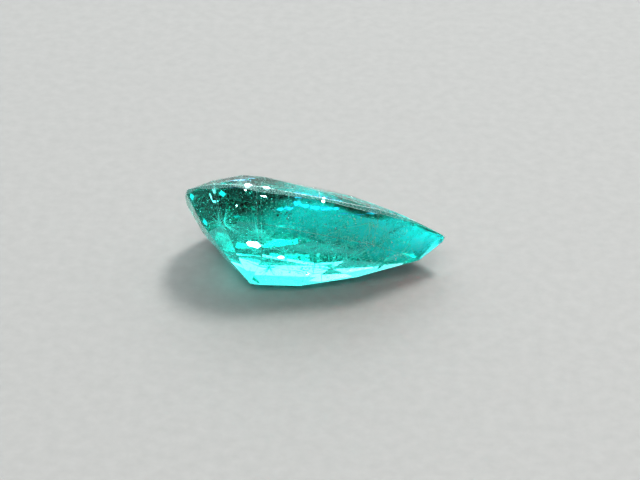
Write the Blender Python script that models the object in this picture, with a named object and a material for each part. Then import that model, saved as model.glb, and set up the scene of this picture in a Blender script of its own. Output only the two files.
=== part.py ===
"""A pear-cut emerald, ground from a block facet by facet and lying on one of its own flat facets.

The stone is modelled first as a cutter holds it: girdle level, table up, point towards +X, with the
origin on the axis that every facet is angled from. A facet is given by its azimuth about that axis and
its angle from the girdle plane, or by the points it must meet. Then the stone is laid on its resting
facet. Lengths are in millimetres until the finished stone is scaled to metres.
"""

import math

import bmesh
import bpy
from mathutils import Matrix, Vector

# Outline at the girdle: five sides round the head, two long wings and two sides that meet at the point.
HEAD_AZIMUTHS = (112.0, 146.0, 180.0)
WING_AZIMUTH = 79.5
POINT_AZIMUTH = 52.5
HEAD_REACH = 3.34
WING_REACH = 3.30
POINT_REACH = 7.84
BULGE = {"head": 0.09, "wing": 0.085, "point": 0.05}
GIRDLE_THICKNESS = 0.08

# Crown: kite-shaped mains, two break facets to a side and a star facet under each edge of the table.
TABLE_HEIGHT = 0.88
STAR_TIP_HEIGHT = 0.38
STAR_TIP_INSET = {"head": 0.57, "wing": 0.40, "point": 0.50}

# Pavilion: three stepped rows below each side, steepest at the girdle, down to a small flat culet.
ROW_BOTTOMS = (-1.24, -2.36)
ROW_ANGLES = {
    "head": (53.5, 43.4, 39.1),
    "wing": (56.0, 47.5, 33.4),
    "point": (60.5, 36.0, 27.0),
}
CULET_DEPTH = 3.28

BLOCK_SIZE = 30.0
WELD_DISTANCE = 0.0001
MILLIMETRE = 0.001

GREEN = (0.0, 0.52, 0.44, 1.0)
EMERALD_IOR = 1.58


def clear_scene():
    for obj in list(bpy.data.objects):
        bpy.data.objects.remove(obj, do_unlink=True)


def outward(azimuth):
    """The level direction at an azimuth, counted from the point of the pear."""
    return Vector((math.cos(math.radians(azimuth)), math.sin(math.radians(azimuth)), 0.0))


def outline_sides():
    """(kind, azimuth, distance from the axis) of each side, once round from the point."""
    point_distance = POINT_REACH * math.cos(math.radians(POINT_AZIMUTH))
    half = [
        ("point", POINT_AZIMUTH, point_distance),
        ("wing", WING_AZIMUTH, WING_REACH - BULGE["wing"]),
    ]
    half += [("head", azimuth, HEAD_REACH - BULGE["head"]) for azimuth in HEAD_AZIMUTHS]
    mirrored = [(kind, -azimuth, distance) for kind, azimuth, distance in half if azimuth < 180.0]
    return half + mirrored[::-1]


def corner_between(one, other):
    """Where two sides of the outline cross, in the girdle plane."""
    a, b = outward(one[1]), outward(other[1])
    width = a.x * b.y - a.y * b.x
    return Vector(
        (
            (one[2] * b.y - other[2] * a.y) / width,
            (a.x * other[2] - b.x * one[2]) / width,
            0.0,
        )
    )


def grind(bm, point, normal):
    """Grinds away all that lies outside the plane, and leaves one flat facet there."""
    cut = bmesh.ops.bisect_plane(
        bm,
        geom=bm.verts[:] + bm.edges[:] + bm.faces[:],
        dist=0.000001,
        plane_co=point,
        plane_no=normal,
        clear_outer=True,
    )
    rim = [part for part in cut["geom_cut"] if isinstance(part, bmesh.types.BMEdge)]
    if rim:
        bmesh.ops.contextual_create(bm, geom=rim)


def grind_through(bm, a, b, c):
    """Grinds the facet that holds three points, on the side away from the axis."""
    normal = (b - a).cross(c - a).normalized()
    if normal.dot(a) < 0.0:
        normal.negate()
    grind(bm, a, normal)


def cut_pavilion(bm, sides, middles):
    """Three rows of step facets under each side, each row starting where the one above ends."""
    for (kind, azimuth, _), middle in zip(sides, middles):
        radius = middle.dot(outward(azimuth))
        height = 0.0
        for angle, bottom in zip(ROW_ANGLES[kind], ROW_BOTTOMS + (None,)):
            tilt = math.radians(angle)
            normal = outward(azimuth) * math.sin(tilt) - Vector((0.0, 0.0, math.cos(tilt)))
            grind(bm, outward(azimuth) * radius + Vector((0.0, 0.0, height)), normal)
            if bottom is not None:
                radius += (bottom - height) / math.tan(tilt)
                height = bottom
    grind(bm, Vector((0.0, 0.0, -CULET_DEPTH)), Vector((0.0, 0.0, -1.0)))


def cut_girdle(bm, corners, middles):
    """Two narrow upright faces to a side, so that the outline bows out a little at its middle."""
    for index, middle in enumerate(middles):
        for start, end in ((corners[index], middle), (middle, corners[(index + 1) % len(corners)])):
            grind_through(bm, start, end, end + Vector((0.0, 0.0, 1.0)))


def cut_crown(bm, sides, corners, middles):
    """Mains first, then the star and break facets that meet them at one point above each side."""
    count = len(sides)
    girdle_top = Vector((0.0, 0.0, GIRDLE_THICKNESS))
    table = Vector((0.0, 0.0, GIRDLE_THICKNESS + TABLE_HEIGHT))
    meets = []
    for (kind, azimuth, _), middle in zip(sides, middles):
        inset = outward(azimuth) * STAR_TIP_INSET[kind]
        meets.append(middle - inset + girdle_top + Vector((0.0, 0.0, STAR_TIP_HEIGHT)))
    table_corners = []
    for index, corner in enumerate(corners):
        before, after, foot = meets[index - 1], meets[index], corner + girdle_top
        grind_through(bm, foot, before, after)
        normal = (before - foot).cross(after - foot)
        inward = -(outward(sides[index - 1][1]) + outward(sides[index][1])).normalized()
        run = (table.z - foot.z) * -normal.z / normal.dot(inward)
        table_corners.append(foot + inward * run + Vector((0.0, 0.0, TABLE_HEIGHT)))
    for index in range(count):
        following = (index + 1) % count
        meet, middle = meets[index], middles[index] + girdle_top
        grind_through(bm, corners[index] + girdle_top, middle, meet)
        grind_through(bm, middle, corners[following] + girdle_top, meet)
        grind_through(bm, table_corners[index], table_corners[following], meet)
    grind(bm, table, Vector((0.0, 0.0, 1.0)))


def lay_down(bm):
    """Turns the stone onto the wing's second pavilion row, level, with its point towards +X."""
    tilt = math.radians(ROW_ANGLES["wing"][1])
    resting = outward(WING_AZIMUTH) * math.sin(tilt) - Vector((0.0, 0.0, math.cos(tilt)))
    up = -resting
    along = (Vector((1.0, 0.0, 0.0)) - up * up.x).normalized()
    across = up.cross(along)
    bmesh.ops.transform(bm, matrix=Matrix((along, across, up)).to_4x4(), verts=bm.verts[:])


def stand_on_origin(bm):
    """Moves the middle of the stone's footprint box to the origin, with its lowest facet at z = 0."""
    low = Vector([min(vert.co[axis] for vert in bm.verts) for axis in range(3)])
    high = Vector([max(vert.co[axis] for vert in bm.verts) for axis in range(3)])
    middle = (low + high) / 2.0
    bmesh.ops.translate(bm, vec=-Vector((middle.x, middle.y, low.z)), verts=bm.verts[:])


def gem_material():
    """Clear bluish green, polished."""
    material = bpy.data.materials.new("polished_emerald")
    material.use_nodes = True
    shader = material.node_tree.nodes["Principled BSDF"]
    shader.inputs["Base Color"].default_value = GREEN
    shader.inputs["Metallic"].default_value = 0.0
    shader.inputs["Roughness"].default_value = 0.02
    shader.inputs["IOR"].default_value = EMERALD_IOR
    shader.inputs["Transmission Weight"].default_value = 1.0
    material.diffuse_color = GREEN
    return material


def cut_stone():
    """The whole stone, ground from a block."""
    sides = outline_sides()
    corners = [corner_between(sides[index - 1], sides[index]) for index in range(len(sides))]
    middles = []
    for index, (kind, azimuth, _) in enumerate(sides):
        halfway = (corners[index] + corners[(index + 1) % len(corners)]) / 2.0
        middles.append(halfway + outward(azimuth) * BULGE[kind])
    bm = bmesh.new()
    bmesh.ops.create_cube(bm, size=BLOCK_SIZE)
    cut_girdle(bm, corners, middles)
    cut_pavilion(bm, sides, middles)
    cut_crown(bm, sides, corners, middles)
    bmesh.ops.remove_doubles(bm, verts=bm.verts[:], dist=WELD_DISTANCE)
    lay_down(bm)
    stand_on_origin(bm)
    bmesh.ops.scale(bm, vec=(MILLIMETRE,) * 3, verts=bm.verts[:])
    bmesh.ops.recalc_face_normals(bm, faces=bm.faces[:])
    mesh = bpy.data.meshes.new("emerald_stone")
    bm.to_mesh(mesh)
    bm.free()
    mesh.materials.append(gem_material())
    return bpy.data.objects.new("emerald_stone", mesh)


clear_scene()
collection = bpy.data.collections.new("emerald_gemstone")
bpy.context.scene.collection.children.link(collection)
collection.objects.link(cut_stone())
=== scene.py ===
import math
import random

import bmesh
import bpy
from mathutils import Euler, Matrix, Vector, noise


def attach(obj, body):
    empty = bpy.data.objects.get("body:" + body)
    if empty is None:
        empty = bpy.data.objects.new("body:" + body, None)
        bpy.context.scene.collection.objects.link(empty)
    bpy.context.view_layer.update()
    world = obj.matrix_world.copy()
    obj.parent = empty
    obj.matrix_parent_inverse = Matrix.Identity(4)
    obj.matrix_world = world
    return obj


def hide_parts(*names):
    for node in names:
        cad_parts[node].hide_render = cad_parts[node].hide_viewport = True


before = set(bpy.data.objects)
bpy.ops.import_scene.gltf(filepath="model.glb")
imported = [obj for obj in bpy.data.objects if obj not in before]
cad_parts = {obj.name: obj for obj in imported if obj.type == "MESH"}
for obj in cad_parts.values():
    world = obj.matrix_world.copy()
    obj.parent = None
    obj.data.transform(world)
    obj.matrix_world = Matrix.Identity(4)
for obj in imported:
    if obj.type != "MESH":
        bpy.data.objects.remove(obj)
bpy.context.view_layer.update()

# --- Camera ---------------------------------------------------------------------------------------
# A short telephoto a hand's breadth from the stone, looking down on its keel side.
# The aim point is 2 mm above the middle of the stone's footprint.
MM = 0.001
PICTURE_WIDTH = 640
SENSOR_WIDTH = 36.0
FOCAL_IN_PICTURE_WIDTHS = 3.125
CAMERA_AZIMUTH = math.radians(-3.32)
CAMERA_ELEVATION = math.radians(34.6)
CAMERA_DISTANCE = 83.9 * MM
AIM_POINT = Vector((0.0, 0.0, 2.0 * MM))
AIM_OFFSET_PX = (-3.8, -14.9)
NEAREST_SEEN = 1.0 * MM
FARTHEST_SEEN = 5.0

camera_data = bpy.data.cameras.new("camera")
camera = bpy.data.objects.new("camera", camera_data)
bpy.context.scene.collection.objects.link(camera)
camera_data.sensor_width = SENSOR_WIDTH
camera_data.lens = FOCAL_IN_PICTURE_WIDTHS * SENSOR_WIDTH
camera_data.clip_start = NEAREST_SEEN
camera_data.clip_end = FARTHEST_SEEN
backwards = Vector(
    (
        -math.sin(CAMERA_AZIMUTH) * math.cos(CAMERA_ELEVATION),
        -math.cos(CAMERA_AZIMUTH) * math.cos(CAMERA_ELEVATION),
        math.sin(CAMERA_ELEVATION),
    )
)
turn = backwards.to_track_quat("Z", "Y")
pixel_at_stone = CAMERA_DISTANCE / (FOCAL_IN_PICTURE_WIDTHS * PICTURE_WIDTH)
sideways = turn @ Vector((-AIM_OFFSET_PX[0], AIM_OFFSET_PX[1], 0.0)) * pixel_at_stone
camera.rotation_euler = turn.to_euler()
camera.location = AIM_POINT + backwards * CAMERA_DISTANCE + sideways
bpy.context.scene.camera = camera

# --- Floor and light ------------------------------------------------------------------------------
# A plain pale table top in a bright room, with soft boxes before and behind the stone.
# The light passes many facets before it leaves the stone, so it is followed further than usual.
LONGEST_LIGHT_PATH = 40
AIR_GAP = 0.01 * MM
TABLE_RADIUS = 0.6
TABLE_GRAIN = 0.5 * MM
TABLE_COLOUR = (0.175, 0.170, 0.162)
TABLE_DARK_GRAIN = (0.160, 0.155, 0.148)
TABLE_PALE_GRAIN = (0.190, 0.185, 0.176)
ROOM_COLOUR = (0.96, 1.0, 1.04)
FRONT_GLOW = 0.3
BACK_GLOW = 1.05
GLOW_TURNS_WITHIN = 0.6
WHITE = (1.0, 1.0, 1.0)
BACK_BOX_BLUE = (0.80, 0.95, 1.0)

view = bpy.context.scene.view_settings
view.view_transform = "Standard"
view.look = "Very High Contrast"
cycles = bpy.context.scene.cycles
cycles.max_bounces = LONGEST_LIGHT_PATH
cycles.transmission_bounces = LONGEST_LIGHT_PATH
cycles.glossy_bounces = LONGEST_LIGHT_PATH
cycles.volume_bounces = LONGEST_LIGHT_PATH


def finish_of(name, base, roughness, **sockets):
    """A plain Principled material, with any other socket named by its words joined with _."""
    material = bpy.data.materials.new(name)
    material.use_nodes = True
    shader = material.node_tree.nodes["Principled BSDF"]
    shader.inputs["Base Color"].default_value = (*base, 1.0)
    shader.inputs["Roughness"].default_value = roughness
    for words, value in sockets.items():
        shader.inputs[words.replace("_", " ")].default_value = value
    return material


def step(tree, kind, settings=None, **feeds):
    """Adds a node to a tree. Each named input is linked to a socket or set to a value."""
    node = tree.nodes.new(kind)
    for name, value in (settings or {}).items():
        setattr(node, name, value)
    for words, value in feeds.items():
        socket = next(s for s in node.inputs if s.enabled and s.name.replace(" ", "_") == words)
        if isinstance(value, bpy.types.NodeSocket):
            tree.links.new(value, socket)
        else:
            socket.default_value = value
    return node


floor_mesh = bpy.data.meshes.new("table_top")
bm = bmesh.new()
bmesh.ops.create_circle(bm, cap_ends=True, segments=96, radius=TABLE_RADIUS)
bmesh.ops.translate(bm, verts=bm.verts[:], vec=(0.0, 0.0, -AIR_GAP))
bm.to_mesh(floor_mesh)
bm.free()
floor = bpy.data.objects.new("table_top", floor_mesh)
bpy.context.scene.collection.objects.link(floor)
pale_table = finish_of("pale_table", TABLE_COLOUR, 0.7)
tree = pale_table.node_tree
where = step(tree, "ShaderNodeTexCoord").outputs["Object"]
grain = step(tree, "ShaderNodeTexNoise", Vector=where, Scale=1.0 / TABLE_GRAIN, Detail=4.0)
tint = step(tree, "ShaderNodeMix", {"data_type": "RGBA"}, Factor=grain.outputs["Fac"])
tint.inputs["A"].default_value = (*TABLE_DARK_GRAIN, 1.0)
tint.inputs["B"].default_value = (*TABLE_PALE_GRAIN, 1.0)
tree.links.new(tint.outputs["Result"], tree.nodes["Principled BSDF"].inputs["Base Color"])
floor_mesh.materials.append(pale_table)

world = bpy.data.worlds.new("room")
bpy.context.scene.world = world
world.use_nodes = True
background = world.node_tree.nodes["Background"]
background.inputs["Color"].default_value = (*ROOM_COLOUR, 1.0)
towards = step(world.node_tree, "ShaderNodeTexCoord").outputs["Generated"]
towards_back = step(world.node_tree, "ShaderNodeSeparateXYZ", Vector=towards).outputs["Y"]
glow = step(world.node_tree, "ShaderNodeMapRange", Value=towards_back)
glow.inputs["From Min"].default_value = -GLOW_TURNS_WITHIN
glow.inputs["From Max"].default_value = GLOW_TURNS_WITHIN
glow.inputs["To Min"].default_value = FRONT_GLOW
glow.inputs["To Max"].default_value = BACK_GLOW
glow.interpolation_type = "SMOOTHSTEP"
world.node_tree.links.new(glow.outputs["Result"], background.inputs["Strength"])


def softbox(name, azimuth, elevation, distance, width, height, brightness, tint):
    """A rectangular softbox that faces the stone. Azimuth 0 is beyond it, 90 to its right."""
    light = bpy.data.lights.new(name, "AREA")
    light.shape = "RECTANGLE"
    light.size = width
    light.size_y = height
    light.energy = brightness * width * height * math.pi
    light.color = tint
    box = bpy.data.objects.new(name, light)
    a, e = math.radians(azimuth), math.radians(elevation)
    towards = Vector((math.sin(a) * math.cos(e), math.cos(a) * math.cos(e), math.sin(e)))
    box.location = AIM_POINT + towards * distance
    box.rotation_euler = towards.to_track_quat("Z", "Y").to_euler()
    box.visible_camera = False
    bpy.context.scene.collection.objects.link(box)


softbox(
    "front_box",
    azimuth=-168,
    elevation=56,
    distance=0.45,
    width=0.34,
    height=0.24,
    brightness=5.0,
    tint=WHITE,
)
softbox(
    "back_box",
    azimuth=-15,
    elevation=52,
    distance=0.45,
    width=0.50,
    height=0.25,
    brightness=2.2,
    tint=BACK_BOX_BLUE,
)
softbox(
    "lamp",
    azimuth=35,
    elevation=66,
    distance=0.40,
    width=0.09,
    height=0.09,
    brightness=45.0,
    tint=WHITE,
)

# --- Stone ----------------------------------------------------------------------------------------
# One clear bluish green crystal, ground flat facet by flat facet and polished. Its girdle was left
# frosted, and its edges are worn to narrow flats that catch the light.
WELD = 0.0002 * MM
FLAT_WITHIN = math.radians(0.3)
ON_PLANE = 1e-9
GIRDLE_LEAN = 0.05
EDGE_HALF_WIDTH = (0.004 * MM, 0.010 * MM)
TIP_WEAR = 0.09 * MM
TIP_WEAR_LEANS = ((-0.1, 0.0), (-0.6, 0.0), (0.35, 0.1), (-0.3, -0.5), (-0.2, 0.45))
CRYSTAL_IOR = 1.58
DEPTH_COLOUR = (0.0, 0.895, 0.845)
DEPTH_PER_METRE = 430.0
GRAIN_FROM = 0.35
GRAIN_TO = 0.7

stone_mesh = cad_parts["emerald_stone"].data.copy()
stone_mesh.name = "stone"
stone_mesh.materials.clear()
bm = bmesh.new()
bm.from_mesh(stone_mesh)
bmesh.ops.remove_doubles(bm, verts=bm.verts[:], dist=WELD)
bmesh.ops.dissolve_limit(bm, angle_limit=FLAT_WITHIN, verts=bm.verts[:], edges=bm.edges[:])
bm.normal_update()
table_axis = max(bm.faces, key=lambda face: face.calc_area()).normal.copy()
facet_planes = [(face.calc_center_median(), face.normal.copy()) for face in bm.faces]
for face in bm.faces:
    face.material_index = 1 if abs(face.normal.dot(table_axis)) < GIRDLE_LEAN else 0
    face.smooth = False
random.seed(11)
worn = []
point_end = max(bm.verts, key=lambda vert: vert.co.x).co.copy()
for lean, rise in TIP_WEAR_LEANS:
    level = math.cos(rise)
    towards = Vector((math.cos(lean) * level, math.sin(lean) * level, math.sin(rise)))
    worn.append((point_end - towards * TIP_WEAR, towards))
for edge in bm.edges:
    one, other = edge.link_faces
    normal = (one.normal + other.normal).normalized()
    half_bend = one.normal.angle(other.normal) / 2.0
    depth = random.uniform(*EDGE_HALF_WIDTH) * math.tan(half_bend)
    worn.append((edge.verts[0].co - normal * depth, normal))
for point, normal in worn:
    cut = bmesh.ops.bisect_plane(
        bm,
        geom=bm.verts[:] + bm.edges[:] + bm.faces[:],
        dist=ON_PLANE,
        plane_co=point,
        plane_no=normal,
        clear_outer=True,
    )
    rim = [part for part in cut["geom_cut"] if isinstance(part, bmesh.types.BMEdge)]
    if rim:
        made = bmesh.ops.contextual_create(bm, geom=rim)
        for face in made["faces"]:
            face.material_index = 2
bmesh.ops.recalc_face_normals(bm, faces=bm.faces[:])
bm.to_mesh(stone_mesh)
bm.free()
stone = bpy.data.objects.new("stone", stone_mesh)
bpy.context.scene.collection.objects.link(stone)


def clear_green(name, base, clarity, rough_range, grain_mm, relief_mm):
    """Beryl as it is all through: colourless at the surface, green by what its depth takes away.
    The surface is rougher and smoother, and higher and lower, from grain to grain."""
    material = finish_of(name, base, rough_range[0], IOR=CRYSTAL_IOR, Transmission_Weight=clarity)
    tree = material.node_tree
    shader, output = tree.nodes["Principled BSDF"], tree.nodes["Material Output"]
    where = step(tree, "ShaderNodeTexCoord").outputs["Object"]
    grain = step(tree, "ShaderNodeTexNoise", Vector=where, Scale=1.0 / (grain_mm * MM), Detail=4.0)
    grain = grain.outputs["Fac"]
    rough = step(tree, "ShaderNodeMapRange", Value=grain, From_Min=GRAIN_FROM, From_Max=GRAIN_TO)
    rough.inputs["To Min"].default_value = rough_range[0]
    rough.inputs["To Max"].default_value = rough_range[1]
    tree.links.new(rough.outputs["Result"], shader.inputs["Roughness"])
    relief = step(tree, "ShaderNodeBump", Height=grain, Distance=relief_mm * MM)
    tree.links.new(relief.outputs["Normal"], shader.inputs["Normal"])
    depth = step(tree, "ShaderNodeVolumeAbsorption", Density=DEPTH_PER_METRE)
    depth.inputs["Color"].default_value = (*DEPTH_COLOUR, 1.0)
    tree.links.new(depth.outputs["Volume"], output.inputs["Volume"])
    return material


for name, base, clarity, rough_range, grain_mm, relief_mm in (
    ("polished_beryl", WHITE, 1.0, (0.0, 0.03), 0.5, 0.0015),
    ("frosted_girdle", (0.45, 0.92, 0.84), 0.85, (0.10, 0.40), 0.05, 0.01),
    ("worn_edge", (0.80, 1.0, 0.96), 0.7, (0.1, 0.5), 0.06, 0.02),
):
    stone_mesh.materials.append(clear_green(name, base, clarity, rough_range, grain_mm, relief_mm))
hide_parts("emerald_stone")
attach(stone, "root")

# --- Healed cracks --------------------------------------------------------------------------------
# Old cracks that closed again while the crystal grew, and left curved sheets of tiny drops behind.
# Each sheet is cut to lie inside the stone, and the drops are scattered over it in curved rows.
CLEARANCE = 0.06 * MM
SHEET_CELLS = 40
BROAD_SWELL = 1.4 * MM
FINE_SWELL = 0.4 * MM
FINE_SHARE = 0.3
BROAD_SHIFT = 7.3
FINE_SHIFT = 3.1
RAY_REACH = 0.05
ROW_SHARE = 0.5
SMALL_DROPS_FAVOURED = 3.0
DROP_STRETCH = 2.2
DROP_IOR = 1.43
GLOSSIEST = 0.6
DULLEST = 1.4


def sheet_inside(name, middle_mm, facing, width_mm, height_mm, swell_mm, seed):
    """A gently curved sheet through the stone, trimmed to what lies inside it."""
    sheet = bpy.data.meshes.new(name)
    bm = bmesh.new()
    bmesh.ops.create_grid(bm, x_segments=SHEET_CELLS, y_segments=SHEET_CELLS, size=MM / 2.0)
    bmesh.ops.scale(bm, verts=bm.verts[:], vec=(width_mm, height_mm, 1.0))
    middle = Vector(middle_mm) * MM
    turned = Vector(facing).normalized().to_track_quat("Z", "Y").to_matrix().to_4x4()
    for vert in bm.verts:
        broad = vert.co / BROAD_SWELL + Vector((seed * BROAD_SHIFT, 0.0, 0.0))
        fine = vert.co / FINE_SWELL + Vector((0.0, seed * FINE_SHIFT, 0.0))
        swell = noise.noise(broad)
        swell += FINE_SHARE * noise.noise(fine)
        vert.co.z += swell * swell_mm * MM
    placed = Matrix.Translation(middle) @ turned
    bmesh.ops.transform(bm, verts=bm.verts[:], matrix=placed)
    for point, normal in facet_planes:
        bmesh.ops.bisect_plane(
            bm,
            geom=bm.verts[:] + bm.edges[:] + bm.faces[:],
            dist=ON_PLANE,
            plane_co=point - normal * CLEARANCE,
            plane_no=normal,
            clear_outer=True,
        )
    bm.to_mesh(sheet)
    bm.free()
    carrier = bpy.data.objects.new(name, sheet)
    bpy.context.scene.collection.objects.link(carrier)
    return carrier


def reckon(tree, operation, *values, kind="ShaderNodeMath"):
    """One arithmetic node on numbers, or on vectors with kind ShaderNodeVectorMath."""
    node = step(tree, kind, {"operation": operation})
    sockets = [socket for socket in node.inputs if socket.enabled]
    for socket, value in zip(sockets, values):
        if isinstance(value, bpy.types.NodeSocket):
            tree.links.new(value, socket)
        else:
            socket.default_value = value
    return next(socket for socket in node.outputs if socket.enabled)


def chance(tree, seed, salt, low=0.0, high=1.0):
    """A random number for each point, between low and high."""
    own_seed = reckon(tree, "ADD", seed, float(salt))
    return step(tree, "FunctionNodeRandomValue", Min=low, Max=high, Seed=own_seed).outputs[1]


def new_tree(name, sizes):
    """An empty tree with a geometry input, and one named input for each size and its kind."""
    tree = bpy.data.node_groups.new(name, "GeometryNodeTree")
    tree.interface.new_socket("Carrier", in_out="INPUT", socket_type="NodeSocketGeometry")
    for words, kind in sizes.items():
        tree.interface.new_socket(words, in_out="INPUT", socket_type="NodeSocket" + kind)
    tree.interface.new_socket("Geometry", in_out="OUTPUT", socket_type="NodeSocketGeometry")
    return tree, tree.nodes.new("NodeGroupInput").outputs


def strewn_points(tree, given):
    """Points over the carrier, spread through the thickness and kept well inside the stone."""
    spots = step(
        tree,
        "GeometryNodeDistributePointsOnFaces",
        Mesh=given["Carrier"],
        Density=given["Per Square Metre"],
        Seed=given["Seed"],
    ).outputs
    aside = reckon(tree, "MULTIPLY", chance(tree, given["Seed"], 1, -0.5, 0.5), given["Thickness"])
    offset = reckon(tree, "SCALE", spots["Normal"], kind="ShaderNodeVectorMath")
    tree.links.new(aside, offset.node.inputs["Scale"])
    moved = step(tree, "GeometryNodeSetPosition", Geometry=spots["Points"], Offset=offset)
    place = step(tree, "GeometryNodeInputPosition").outputs[0]
    shell = step(tree, "GeometryNodeObjectInfo", Object=given["Stone"]).outputs["Geometry"]
    near = step(tree, "GeometryNodeProximity", {"target_element": "FACES"}, Geometry=shell)
    ray = step(
        tree,
        "GeometryNodeRaycast",
        Target_Geometry=shell,
        Source_Position=place,
        Ray_Direction=(0.0, 0.0, 1.0),
        Ray_Length=RAY_REACH,
    ).outputs
    outwards = step(tree, "ShaderNodeSeparateXYZ", Vector=ray["Hit Normal"]).outputs["Z"]
    deep = reckon(tree, "GREATER_THAN", near.outputs["Distance"], given["Clearance"])
    within = reckon(tree, "MULTIPLY", reckon(tree, "GREATER_THAN", outwards, 0.0), deep)
    outside = reckon(tree, "SUBTRACT", 1.0, within)
    moved = moved.outputs["Geometry"]
    kept = step(tree, "GeometryNodeDeleteGeometry", Geometry=moved, Selection=outside).outputs[0]
    return kept, place, shell, spots["Normal"]


def finished(tree, copies, finish, smooth):
    """Ends a tree: the copies made real, shaded and given their material."""
    real = step(tree, "GeometryNodeRealizeInstances", Geometry=copies).outputs[0]
    shaded = step(tree, "GeometryNodeSetShadeSmooth", Geometry=real, Shade_Smooth=smooth).outputs[0]
    covered = step(tree, "GeometryNodeSetMaterial", Geometry=shaded, Material=finish).outputs[0]
    tree.links.new(covered, tree.nodes.new("NodeGroupOutput").inputs[0])


drops, given = new_tree(
    "drops_in_rows",
    {
        "Per Square Metre": "Float",
        "Thickness": "Float",
        "Smallest": "Float",
        "Largest": "Float",
        "Flatness": "Float",
        "Patch": "Float",
        "Cover": "Float",
        "Row Spacing": "Float",
        "Row Centre": "Vector",
        "Clearance": "Float",
        "Stone": "Object",
        "Seed": "Int",
        "Finish": "Material",
    },
)
points, place, _, facing = strewn_points(drops, given)
blotch = step(
    drops,
    "ShaderNodeTexNoise",
    Vector=place,
    Scale=reckon(drops, "DIVIDE", 1.0, given["Patch"]),
    Detail=3.0,
).outputs["Fac"]
in_patch = reckon(drops, "LESS_THAN", blotch, given["Cover"])
reach = reckon(drops, "DISTANCE", place, given["Row Centre"], kind="ShaderNodeVectorMath")
row = reckon(drops, "ADD", reckon(drops, "DIVIDE", reach, given["Row Spacing"]), blotch)
on_row = reckon(drops, "LESS_THAN", reckon(drops, "FRACT", row), ROW_SHARE)
eased = reckon(drops, "POWER", chance(drops, given["Seed"], 2), SMALL_DROPS_FAVOURED)
span = reckon(drops, "SUBTRACT", given["Largest"], given["Smallest"])
size = reckon(drops, "ADD", given["Smallest"], reckon(drops, "MULTIPLY", eased, span))
long_side = reckon(drops, "MULTIPLY", size, chance(drops, given["Seed"], 3, 1.0, DROP_STRETCH))
flat_side = reckon(drops, "MULTIPLY", size, given["Flatness"])
turned = step(drops, "FunctionNodeAlignRotationToVector", {"axis": "Z"}, Vector=facing).outputs[0]
spin = step(
    drops,
    "FunctionNodeAxisAngleToRotation",
    Axis=(0.0, 0.0, 1.0),
    Angle=chance(drops, given["Seed"], 4, 0.0, math.tau),
).outputs[0]
spun = step(
    drops,
    "FunctionNodeRotateRotation",
    {"rotation_space": "LOCAL"},
    Rotation=turned,
    Rotate_By=spin,
).outputs[0]
copies = step(
    drops,
    "GeometryNodeInstanceOnPoints",
    Points=points,
    Selection=reckon(drops, "MULTIPLY", in_patch, on_row),
    Instance=step(drops, "GeometryNodeMeshIcoSphere", Radius=1.0, Subdivisions=1).outputs[0],
    Rotation=spun,
    Scale=step(drops, "ShaderNodeCombineXYZ", X=long_side, Y=size, Z=flat_side).outputs[0],
).outputs[0]
finished(drops, copies, given["Finish"], True)


def grown(name, tree, carriers, finish, seed, **sizes):
    """Runs a tree over each carrier, and keeps what it made as one plain mesh inside the stone."""
    bm = bmesh.new()
    for number, carrier in enumerate(carriers):
        values = dict(sizes, Stone=stone, Seed=seed + number, Finish=finish, Clearance=CLEARANCE)
        modifier = carrier.modifiers.new("growth", "NODES")
        modifier.node_group = tree
        for socket in tree.interface.items_tree:
            if socket.name.replace(" ", "_") in values and socket.in_out == "INPUT":
                modifier[socket.identifier] = values[socket.name.replace(" ", "_")]
        graph = bpy.context.evaluated_depsgraph_get()
        made = bpy.data.meshes.new_from_object(carrier.evaluated_get(graph))
        carrier.modifiers.remove(modifier)
        bm.from_mesh(made)
        bpy.data.meshes.remove(made)
        bpy.data.objects.remove(carrier)
    mesh = bpy.data.meshes.new(name)
    bm.to_mesh(mesh)
    bm.free()
    mesh.materials.append(finish)
    piece = bpy.data.objects.new(name, mesh)
    bpy.context.scene.collection.objects.link(piece)
    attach(piece, "root")


def mineral(name, base, roughness, grain_mm, depth, **sockets):
    """A mineral or a film inside the stone, darker by up to its depth from grain to grain."""
    material = finish_of(name, base, roughness, **sockets)
    tree = material.node_tree
    shader = tree.nodes["Principled BSDF"]
    where = step(tree, "ShaderNodeTexCoord").outputs["Object"]
    grain = step(tree, "ShaderNodeTexNoise", Vector=where, Scale=1.0 / (grain_mm * MM), Detail=2.0)
    tint = step(tree, "ShaderNodeMix", {"data_type": "RGBA"}, Factor=grain.outputs["Fac"])
    tint.inputs["A"].default_value = (*(value * (1.0 - depth) for value in base), 1.0)
    tint.inputs["B"].default_value = (*base, 1.0)
    tree.links.new(tint.outputs["Result"], shader.inputs["Base Color"])
    gloss = step(tree, "ShaderNodeMapRange", Value=grain.outputs["Fac"])
    gloss.inputs["To Min"].default_value = roughness * GLOSSIEST
    gloss.inputs["To Max"].default_value = roughness * DULLEST
    tree.links.new(gloss.outputs["Result"], shader.inputs["Roughness"])
    return material


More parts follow.
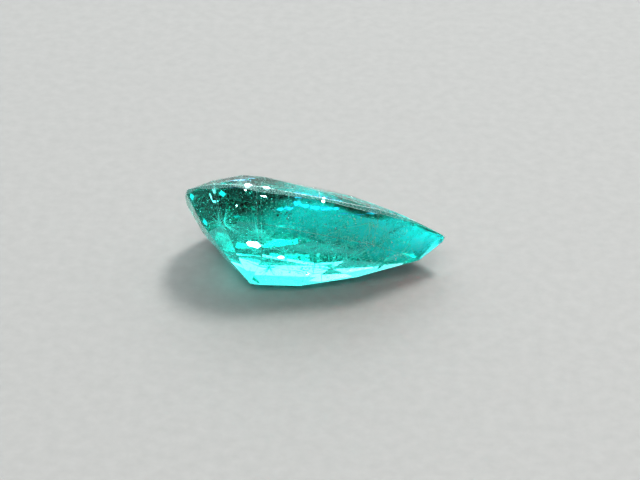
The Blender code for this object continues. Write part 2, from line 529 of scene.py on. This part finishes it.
pale_drop = mineral("pale_drop", WHITE, 0.3, 0.05, 0.0, IOR=DROP_IOR, Transmission_Weight=1.0)
grown(
    "healed_cracks",
    drops,
    [
        sheet_inside("crack_head", (-2.25, -1.35, 3.3), (0.1, -0.85, 0.5), 2.6, 2.6, 0.25, 1),
        sheet_inside("crack_middle", (-0.4, -0.9, 2.6), (0.75, -0.6, 0.2), 3.4, 3.4, 0.35, 2),
        sheet_inside("crack_point", (2.2, -0.7, 2.6), (0.2, -0.8, 0.5), 3.0, 3.0, 0.25, 3),
        sheet_inside("crack_keel", (0.2, -1.0, 1.3), (-0.3, -0.7, 0.6), 4.0, 4.0, 0.3, 4),
    ],
    pale_drop,
    seed=21,
    Per_Square_Metre=300.0 / MM**2,
    Thickness=0.05 * MM,
    Smallest=0.004 * MM,
    Largest=0.022 * MM,
    Flatness=0.5,
    Patch=0.5 * MM,
    Cover=0.50,
    Row_Spacing=0.16 * MM,
    Row_Centre=(-0.6 * MM, 0.6 * MM, 3.0 * MM),
)

# --- Needles --------------------------------------------------------------------------------------
# Fine straight needles of another mineral, grown in sprays from small seeds before the crystal
# closed round them.
SHORT_NEEDLES_FAVOURED = 2.0
NEEDLE_SIDES = 6
NEEDLE_TIP = 0.25
SEED_HALF_SIZES_MM = (0.025, 0.025, 0.12)
SEED_LEAN = (0.15, -0.42, 0.90)
SPRAY_SEEDS_MM = (
    (-2.17, -1.54, 2.79),
    (-2.52, -1.45, 2.13),
    (-2.05, -1.30, 2.45),
    (-1.30, -1.35, 1.75),
    (-0.13, -1.31, 1.70),
    (0.52, -1.19, 2.06),
    (1.26, -1.09, 2.06),
    (1.64, -1.06, 1.60),
    (2.22, -0.80, 2.84),
    (2.67, -0.64, 2.11),
    (0.95, -0.90, 2.60),
    (-3.59, -0.99, 2.88),
    (0.61, -1.23, 1.07),
    (-1.85, -1.42, 1.13),
)

needles, given = new_tree(
    "needle_spray",
    {
        "Per Square Metre": "Float",
        "Thickness": "Float",
        "Shortest": "Float",
        "Longest": "Float",
        "Radius": "Float",
        "Axis": "Vector",
        "Lean": "Float",
        "Wander": "Float",
        "Clearance": "Float",
        "Stone": "Object",
        "Seed": "Int",
        "Finish": "Material",
    },
)
points, place, shell, facing = strewn_points(needles, given)
drift = step(
    needles,
    "FunctionNodeRandomValue",
    {"data_type": "FLOAT_VECTOR"},
    Min=(-1.0, -1.0, -1.0),
    Max=(1.0, 1.0, 1.0),
    Seed=given["Seed"],
).outputs[0]
strayed = reckon(needles, "SCALE", drift, kind="ShaderNodeVectorMath")
needles.links.new(given["Wander"], strayed.node.inputs["Scale"])
leaned = reckon(needles, "SCALE", given["Axis"], kind="ShaderNodeVectorMath")
needles.links.new(given["Lean"], leaned.node.inputs["Scale"])
course = reckon(needles, "ADD", facing, strayed, kind="ShaderNodeVectorMath")
course = reckon(needles, "ADD", course, leaned, kind="ShaderNodeVectorMath")
course = reckon(needles, "NORMALIZE", course, kind="ShaderNodeVectorMath")
ahead = step(
    needles,
    "GeometryNodeRaycast",
    Target_Geometry=shell,
    Source_Position=place,
    Ray_Direction=course,
    Ray_Length=RAY_REACH,
).outputs["Hit Distance"]
room = reckon(needles, "SUBTRACT", ahead, given["Clearance"])
eased = reckon(needles, "POWER", chance(needles, given["Seed"], 5), SHORT_NEEDLES_FAVOURED)
span = reckon(needles, "SUBTRACT", given["Longest"], given["Shortest"])
wanted = reckon(needles, "ADD", given["Shortest"], reckon(needles, "MULTIPLY", eased, span))
length = reckon(needles, "MINIMUM", wanted, room)
thick = reckon(needles, "MULTIPLY", given["Radius"], chance(needles, given["Seed"], 6, 0.5, 1.5))
turned = step(needles, "FunctionNodeAlignRotationToVector", {"axis": "Z"}, Vector=course).outputs[0]
shaft = step(
    needles,
    "GeometryNodeMeshCone",
    Vertices=NEEDLE_SIDES,
    Radius_Top=NEEDLE_TIP,
    Radius_Bottom=1.0,
    Depth=1.0,
).outputs[0]
copies = step(
    needles,
    "GeometryNodeInstanceOnPoints",
    Points=points,
    Selection=reckon(needles, "GREATER_THAN", room, given["Shortest"]),
    Instance=shaft,
    Rotation=turned,
    Scale=step(needles, "ShaderNodeCombineXYZ", X=thick, Y=thick, Z=length).outputs[0],
).outputs[0]
finished(needles, copies, given["Finish"], False)


def seed_at(name, place_mm):
    """The small spindle that a spray of needles grows from, square to its surface."""
    mesh = bpy.data.meshes.new(name)
    bm = bmesh.new()
    bmesh.ops.create_icosphere(bm, subdivisions=2, radius=MM)
    bmesh.ops.scale(bm, verts=bm.verts[:], vec=SEED_HALF_SIZES_MM)
    turned = Vector(SEED_LEAN).normalized().to_track_quat("Z", "Y").to_matrix().to_4x4()
    placed = Matrix.Translation(Vector(place_mm) * MM) @ turned
    bmesh.ops.transform(bm, verts=bm.verts[:], matrix=placed)
    bm.to_mesh(mesh)
    bm.free()
    carrier = bpy.data.objects.new(name, mesh)
    bpy.context.scene.collection.objects.link(carrier)
    return carrier


pale_needle = mineral("pale_needle", (0.45, 1.0, 0.95), 0.3, 0.08, 0.15, Metallic=1.0)
grown(
    "needle_sprays",
    needles,
    [seed_at(f"seed_{number}", place_mm) for number, place_mm in enumerate(SPRAY_SEEDS_MM)],
    pale_needle,
    seed=41,
    Per_Square_Metre=1400.0 / MM**2,
    Thickness=0.0,
    Shortest=0.15 * MM,
    Longest=1.20 * MM,
    Radius=0.013 * MM,
    Axis=(0.0, 0.0, 1.0),
    Lean=0.0,
    Wander=0.3,
)

# --- Silk and grains ------------------------------------------------------------------------------
# A haze of short hair-fine fibres that all lie nearly one way, and loose grains between them, on
# the layers in which the crystal grew.
LAYER_FACING = (0.25, 0.45, 0.86)
LAYER_SPAN_MM = 14.0
LAYERS_MM = (
    (-0.4, -0.3, 0.9),
    (-0.4, -0.3, 1.6),
    (-0.4, -0.3, 2.3),
    (-0.4, -0.3, 3.0),
    (-0.4, -0.3, 3.7),
)
NO_ROWS = {"Row_Spacing": 1.0, "Row_Centre": (0.0, 0.0, 0.0)}


def growth_layers(name, facing, swell_mm, seed):
    """Parallel layers across the whole stone, each with a swell of its own."""
    span_mm = (LAYER_SPAN_MM, LAYER_SPAN_MM)
    return [
        sheet_inside(f"{name}_{number}", middle_mm, facing, *span_mm, swell_mm, seed + number)
        for number, middle_mm in enumerate(LAYERS_MM)
    ]


teal_silk = mineral("teal_silk", (0.25, 1.0, 0.95), 0.3, 0.08, 0.15, Metallic=1.0)
grown(
    "silk",
    needles,
    growth_layers("silk_layer", LAYER_FACING, 0.1, 10),
    teal_silk,
    seed=61,
    Per_Square_Metre=22.0 / MM**2,
    Thickness=0.6 * MM,
    Shortest=0.04 * MM,
    Longest=0.25 * MM,
    Radius=0.003 * MM,
    Axis=(0.35, -0.3, 0.9),
    Lean=1.5,
    Wander=0.6,
)
grown(
    "grains",
    drops,
    growth_layers("grain_layer", LAYER_FACING, 0.1, 10),
    pale_drop,
    seed=81,
    Per_Square_Metre=22.0 / MM**2,
    Thickness=0.7 * MM,
    Smallest=0.004 * MM,
    Largest=0.034 * MM,
    Flatness=0.8,
    Patch=0.9 * MM,
    Cover=0.56,
    **NO_ROWS,
)

# --- Spangles -------------------------------------------------------------------------------------
# Thin round films of gas between the crystal's layers, which flash like mirrors when light meets
# them at a slant.
SPANGLE_FACING = (0.15, -0.40, 0.90)

gas_film = mineral("gas_film", (0.75, 1.0, 0.97), 0.10, 0.05, 0.1, Metallic=1.0)
grown(
    "spangles",
    drops,
    growth_layers("spangle_layer", SPANGLE_FACING, 0.15, 30),
    gas_film,
    seed=101,
    Per_Square_Metre=7.0 / MM**2,
    Thickness=0.6 * MM,
    Smallest=0.010 * MM,
    Largest=0.070 * MM,
    Flatness=0.06,
    Patch=0.9 * MM,
    Cover=0.55,
    **NO_ROWS,
)

# --- Painted shade veil ---------------------------------------------------------------------------
# Near-black flecks caught in two upright sheets inside the stone's head. They are painted shade,
# which makes the facets round the girdle look nearly black.
PAINTED_SHADE_FACING = (-0.20, -0.90, 0.38)

# Painted shade: near-black flecks that darken the head's facets round the girdle.
dark_shale = mineral("dark_shale", (0.005, 0.070, 0.055), 0.5, 0.08, 0.7)
grown(
    "shale_veil",
    drops,
    [
        sheet_inside("shale_sheet_front", (-2.7, -0.85, 4.00), PAINTED_SHADE_FACING, 3.2, 1.1, 0.3, 61),
        sheet_inside("shale_sheet_back", (-2.5, -0.50, 3.85), PAINTED_SHADE_FACING, 3.2, 1.1, 0.3, 62),
    ],
    dark_shale,
    seed=161,
    Per_Square_Metre=90.0 / MM**2,
    Thickness=0.3 * MM,
    Smallest=0.010 * MM,
    Largest=0.045 * MM,
    Flatness=0.15,
    Patch=0.7 * MM,
    Cover=0.60,
    **NO_ROWS,
)

# --- Bright grains --------------------------------------------------------------------------------
# Tiny mirror-bright grains just behind the front facets, in three upright sheets from the head to
# the point, that catch the light one by one as a dust of sparks.
GRAIN_SHEETS_MM = (
    ((-2.6, -1.30, 4.05), (-0.20, -0.90, 0.38), 3.4, 1.3),
    ((0.3, -1.20, 3.00), (-0.06, -0.92, 0.38), 5.0, 1.8),
    ((2.9, -0.70, 2.20), (0.12, -0.93, 0.35), 3.0, 1.8),
)

bright_grain = mineral("bright_grain", (0.40, 1.0, 0.95), 0.3, 0.05, 0.1, Metallic=1.0)
grown(
    "bright_grains",
    drops,
    [
        sheet_inside(f"grain_sheet_{number}", *sheet_mm, 0.3, 73 + number)
        for number, sheet_mm in enumerate(GRAIN_SHEETS_MM)
    ],
    bright_grain,
    seed=201,
    Per_Square_Metre=60.0 / MM**2,
    Thickness=0.5 * MM,
    Smallest=0.006 * MM,
    Largest=0.036 * MM,
    Flatness=0.8,
    Patch=0.5 * MM,
    Cover=0.55,
    **NO_ROWS,
)

# --- Keel haze ------------------------------------------------------------------------------------
# A milky haze of the finest drops close behind the two lowest front facets, which makes the keel
# the palest part of the stone.
grown(
    "keel_haze",
    drops,
    [
        sheet_inside("haze_left", (-0.6, -1.85, 1.15), (0.08, -0.98, -0.19), 4.5, 4.5, 0.15, 41),
        sheet_inside("haze_right", (1.4, -1.60, 1.35), (0.23, -0.90, -0.38), 4.5, 4.5, 0.15, 42),
    ],
    pale_drop,
    seed=121,
    Per_Square_Metre=120.0 / MM**2,
    Thickness=0.3 * MM,
    Smallest=0.004 * MM,
    Largest=0.028 * MM,
    Flatness=0.6,
    Patch=0.5 * MM,
    Cover=0.58,
    **NO_ROWS,
)

# --- Flakes ---------------------------------------------------------------------------------------
# Bright thin flakes of a silvery mineral close behind the facets, each with a ragged outline. All
# lie nearly level, so they catch the high lamp together.
PLATE_THICKNESS = 0.004 * MM
CORNER_STRAY = 0.2
OUTER_REACH = 0.55
FLAKES_MM = (
    ((-2.65, -1.84, 5.02), (0.09, -0.04, 0.99), 0.34, 0.22),
    ((-1.91, -1.90, 4.99), (0.20, -0.08, 0.98), 0.29, 0.23),
    ((-2.38, -2.10, 2.46), (0.09, -0.41, 0.91), 0.70, 0.42),
    ((-1.34, -2.14, 1.88), (0.20, -0.39, 0.90), 0.34, 0.20),
    ((0.39, -1.69, 4.37), (0.22, -0.42, 0.88), 0.16, 0.26),
    ((-0.24, -1.94, 0.98), (0.21, -0.42, 0.88), 0.21, 0.13),
    ((-2.02, -1.92, 4.68), (0.21, -0.37, 0.91), 0.27, 0.10),
    ((-0.13, 0.20, 3.63), (0.19, 0.18, 0.97), 0.06, 0.07),
    ((1.46, -0.11, 3.43), (0.24, 0.08, 0.97), 0.09, 0.06),
    ((3.11, -1.01, 2.01), (0.37, -0.31, 0.88), 0.05, 0.09),
    ((2.41, -1.44, 2.24), (0.31, -0.44, 0.84), 0.08, 0.06),
    ((1.69, -1.35, 3.12), (0.23, -0.36, 0.91), 0.06, 0.06),
    ((-3.64, -1.66, 4.12), (0.02, -0.37, 0.93), 0.08, 0.10),
    ((-3.10, -1.82, 4.11), (0.05, -0.40, 0.91), 0.08, 0.10),
    ((-2.72, -1.79, 4.86), (0.05, -0.40, 0.91), 0.08, 0.10),
)


def ragged_plates(name, plates_mm, finish, corners, raggedness):
    """Thin plates, each from its place, facing, width and height, with a ragged outline."""
    bm = bmesh.new()
    for place_mm, facing, along_mm, across_mm in plates_mm:
        up = Vector(facing).normalized()
        along = (Vector((1.0, 0.0, 0.0)) - up * up.x).normalized()
        across = up.cross(along)
        rim = []
        for corner in range(corners):
            angle = math.tau * (corner + random.uniform(-CORNER_STRAY, CORNER_STRAY)) / corners
            reach = random.uniform(OUTER_REACH - raggedness, OUTER_REACH) * MM
            sideways = along * math.cos(angle) * along_mm + across * math.sin(angle) * across_mm
            rim.append(Vector(place_mm) * MM + sideways * reach)
        upper = [bm.verts.new(point + up * PLATE_THICKNESS / 2.0) for point in rim]
        lower = [bm.verts.new(point - up * PLATE_THICKNESS / 2.0) for point in rim]
        bm.faces.new(upper)
        bm.faces.new(lower[::-1])
        for corner in range(corners):
            beside = (corner + 1) % corners
            bm.faces.new((upper[corner], lower[corner], lower[beside], upper[beside]))
    bmesh.ops.recalc_face_normals(bm, faces=bm.faces[:])
    mesh = bpy.data.meshes.new(name)
    bm.to_mesh(mesh)
    bm.free()
    mesh.materials.append(finish)
    plates = bpy.data.objects.new(name, mesh)
    bpy.context.scene.collection.objects.link(plates)
    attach(plates, "root")


random.seed(17)
silver_flake = mineral("silver_flake", (0.96, 0.98, 0.97), 0.12, 0.06, 0.2, Metallic=1.0)
ragged_plates("flakes", FLAKES_MM, silver_flake, corners=11, raggedness=0.22)

# --- Blue flashes ---------------------------------------------------------------------------------
# Open cleavage cracks just under the girdle. The gas film in each is thin enough to colour what it
# mirrors, so it flashes bright blue green where it lies right for the back box.
FLASHES_MM = (
    ((-1.37, -1.65, 3.94), (0.04, -0.28, 0.96), 0.38, 0.25),
    ((-1.01, -1.58, 3.95), (0.04, -0.28, 0.96), 0.46, 0.38),
    ((-0.71, -1.57, 4.19), (0.04, -0.28, 0.96), 0.38, 0.44),
    ((-0.36, -1.44, 4.01), (0.04, -0.28, 0.96), 0.52, 0.33),
    ((0.04, -1.39, 3.92), (0.05, -0.25, 0.97), 0.55, 0.32),
    ((0.45, -1.33, 3.84), (0.08, -0.27, 0.96), 0.60, 0.38),
    ((0.86, -1.35, 3.86), (0.08, -0.27, 0.96), 0.42, 0.22),
    ((-0.64, -1.60, 4.48), (0.05, -0.18, 0.98), 0.42, 0.10),
    ((1.23, -1.33, 3.61), (0.07, -0.27, 0.96), 0.75, 0.10),
    ((1.77, -1.34, 3.57), (0.07, -0.27, 0.96), 0.70, 0.09),
    ((2.34, -1.28, 3.61), (0.07, -0.27, 0.96), 0.67, 0.14),
)

blue_flash = mineral("blue_flash", (0.02, 0.55, 0.72), 0.3, 0.10, 0.8, Metallic=1.0)
ragged_plates("flashes", FLASHES_MM, blue_flash, corners=13, raggedness=0.30)

# --- Teal films -----------------------------------------------------------------------------------
# Films of the same kind in the rounded end of the stone, a little thicker, so they mirror a deeper
# teal. They broke along straight lines and have only four corners.
TEAL_FILMS_MM = (
    ((-4.99, -0.49, 3.64), (-0.39, -0.24, 0.89), 0.38, 0.53),
    ((-3.68, -1.48, 4.46), (-0.16, -0.28, 0.95), 0.38, 0.50),
    ((-4.41, -0.98, 2.75), (-0.39, -0.24, 0.89), 0.29, 0.72),
    ((-3.07, -1.74, 3.57), (-0.17, -0.28, 0.95), 0.42, 0.20),
)

teal_film = mineral("teal_film", (0.01, 0.52, 0.48), 0.3, 0.12, 0.7, Metallic=1.0)
ragged_plates("teal_films", TEAL_FILMS_MM, teal_film, corners=4, raggedness=0.22)

# --- Streak ---------------------------------------------------------------------------------------
# One bent crack high in the rounded end, filled with three narrow films end to end. They mirror the
# light as one pale streak.
STREAK_MM = (
    ((-4.00, -1.41, 4.55), (-0.29, -0.13, 0.95), 0.10, 0.64),
    ((-4.11, -1.28, 4.20), (-0.37, -0.28, 0.89), 0.12, 0.52),
    ((-3.96, -1.36, 4.02), (-0.33, -0.27, 0.90), 0.30, 0.18),
)

pale_film = mineral("pale_film", (0.30, 0.92, 0.85), 0.2, 0.06, 0.5, Metallic=1.0)
ragged_plates("streak_films", STREAK_MM, pale_film, corners=11, raggedness=0.20)

# --- Sky films ------------------------------------------------------------------------------------
# Two wide films that lie level under the top of the head, thin enough to mirror only a dim and
# bluish light.
SKY_FILMS_MM = (
    ((-3.11, -1.16, 4.67), (-0.11, 0.10, 0.99), 1.09, 0.28),
    ((-2.66, -0.65, 4.42), (-0.01, 0.16, 0.99), 0.42, 0.23),
)

sky_film = mineral("sky_film", (0.16, 0.40, 0.55), 0.3, 0.12, 0.6, Metallic=1.0)
ragged_plates("sky_films", SKY_FILMS_MM, sky_film, corners=13, raggedness=0.30)

# --- Milky clouds and painted shade ---------------------------------------------------------------
# Clouds of grains too fine to see one by one, which scatter the light in the middle of the stone
# and through its point, and absorbing clouds of painted shade that darken the stone under the head
# and the girdle. None has an edge of its own.
CLOUD_INSET = 0.10 * MM
THIN_PATCH_SHARE = 0.1
PATCH_FROM = 0.4
PATCH_TO = 0.62
FADE_STARTS = 0.5
SCATTER = "ShaderNodeVolumeScatter"
DIM = "ShaderNodeVolumeAbsorption"
TEAL_MILK = (0.02, 0.99, 0.90)
# The tint of the absorbing clouds that are painted shade.
PAINTED_SHADE_TEAL = (0.0, 0.60, 0.52)


def haze(name, kind, colour, per_metre, patch_mm, middle_mm, half_sizes_mm, turn_degrees):
    """A haze with no surface: the crystal runs on through it. It is denser and thinner in patches,
    and thins out to nothing towards the cloud's edge."""
    material = finish_of(name, WHITE, 0.0, IOR=1.0, Transmission_Weight=1.0)
    tree = material.node_tree
    where = step(tree, "ShaderNodeTexCoord").outputs["Object"]
    patch = step(tree, "ShaderNodeTexNoise", Vector=where, Scale=1.0 / (patch_mm * MM), Detail=3.0)
    patch = patch.outputs["Fac"]
    dense = step(tree, "ShaderNodeMapRange", Value=patch, From_Min=PATCH_FROM, From_Max=PATCH_TO)
    dense.inputs["To Min"].default_value = per_metre * THIN_PATCH_SHARE
    dense.inputs["To Max"].default_value = per_metre
    own = step(tree, "ShaderNodeMapping", {"vector_type": "TEXTURE"}, Vector=where)
    own.inputs["Location"].default_value = [value * MM for value in middle_mm]
    own.inputs["Rotation"].default_value = [math.radians(angle) for angle in turn_degrees]
    own.inputs["Scale"].default_value = [value * MM for value in half_sizes_mm]
    reach = reckon(tree, "LENGTH", own.outputs["Vector"], kind="ShaderNodeVectorMath")
    fade = step(tree, "ShaderNodeMapRange", Value=reach, From_Min=1.0, From_Max=FADE_STARTS)
    thinned = reckon(tree, "MULTIPLY", dense.outputs["Result"], fade.outputs["Result"])
    depth = step(tree, kind, Color=(*colour, 1.0), Density=thinned)
    tree.links.new(depth.outputs["Volume"], tree.nodes["Material Output"].inputs["Volume"])
    return material


def cloud(name, kind, colour, per_metre, patch_mm, middle_mm, half_sizes_mm, turn_degrees):
    """A rounded body of haze from its middle, half sizes and turn, trimmed to lie in the stone."""
    bm = bmesh.new()
    bmesh.ops.create_icosphere(bm, subdivisions=4, radius=MM)
    bmesh.ops.scale(bm, verts=bm.verts[:], vec=half_sizes_mm)
    turned = Euler([math.radians(angle) for angle in turn_degrees]).to_matrix().to_4x4()
    placed = Matrix.Translation(Vector(middle_mm) * MM) @ turned
    bmesh.ops.transform(bm, verts=bm.verts[:], matrix=placed)
    for point, normal in facet_planes:
        cut = bmesh.ops.bisect_plane(
            bm,
            geom=bm.verts[:] + bm.edges[:] + bm.faces[:],
            dist=ON_PLANE,
            plane_co=point - normal * CLOUD_INSET,
            plane_no=normal,
            clear_outer=True,
        )
        rim = [part for part in cut["geom_cut"] if isinstance(part, bmesh.types.BMEdge)]
        if rim:
            bmesh.ops.contextual_create(bm, geom=rim)
    bmesh.ops.recalc_face_normals(bm, faces=bm.faces[:])
    mesh = bpy.data.meshes.new(name)
    bm.to_mesh(mesh)
    bm.free()
    mesh.materials.append(
        haze(name, kind, colour, per_metre, patch_mm, middle_mm, half_sizes_mm, turn_degrees)
    )
    body = bpy.data.objects.new(name, mesh)
    bpy.context.scene.collection.objects.link(body)
    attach(body, "root")


milk_in_middle = (SCATTER, TEAL_MILK, 5000.0, 0.25)
milk_in_point = (SCATTER, TEAL_MILK, 4000.0, 0.35)
milk_at_tip = (SCATTER, TEAL_MILK, 12000.0, 0.30)
# Painted shade: absorbing clouds that darken the head and the band under the girdle.
painted_shade_in_head = (DIM, PAINTED_SHADE_TEAL, 2600.0, 0.50)
painted_shade_at_girdle = (DIM, PAINTED_SHADE_TEAL, 12000.0, 0.30)
cloud("middle_cloud", *milk_in_middle, (0.7, -0.75, 3.00), (3.6, 0.8, 1.1), (0, 4, 0))
cloud("point_cloud", *milk_in_point, (3.5, -0.25, 2.10), (2.8, 1.2, 1.5), (0, 14, 18))
cloud("tip_cloud", *milk_at_tip, (4.55, -0.05, 1.35), (1.1, 0.7, 0.6), (0, 14, 18))
cloud("head_shade", *painted_shade_in_head, (-2.6, -0.80, 3.95), (2.1, 0.6, 0.8), (0, 4, 0))
cloud("girdle_shade", *painted_shade_at_girdle, (2.15, -1.0, 3.66), (2.3, 0.6, 0.34), (0, 14, 0))
